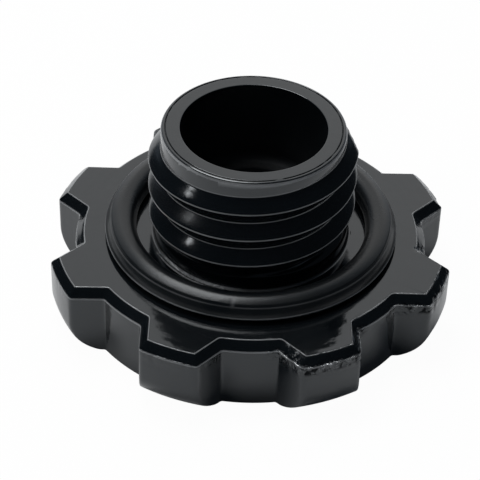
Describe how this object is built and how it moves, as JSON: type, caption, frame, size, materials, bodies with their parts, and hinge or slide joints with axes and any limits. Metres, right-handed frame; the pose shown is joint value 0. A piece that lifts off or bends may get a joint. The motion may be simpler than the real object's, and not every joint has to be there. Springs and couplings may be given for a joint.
{
  "type": "oil filler cap",
  "caption": "Screw-in oil filler cap: a lobed grip head with a hollow, coarsely threaded stem and a rubber sealing ring round its foot.",
  "frame": {"origin": "centre of the outer face of the grip head, on which the cap lies", "axes": "+Z along the stem, from the head towards the mouth of the stem; a notch of the head faces -Y"},
  "size_m": [0.0634, 0.0634, 0.0321],
  "materials": {
    "cap_body": "gloss black coat on turned and milled aluminium, worn at a few edges",
    "seal_ring": "satin black rubber"
  },
  "bodies": {
    "root": {"cap_body": "cap_body", "seal_ring": "seal_ring"}
  },
  "joints": []
}
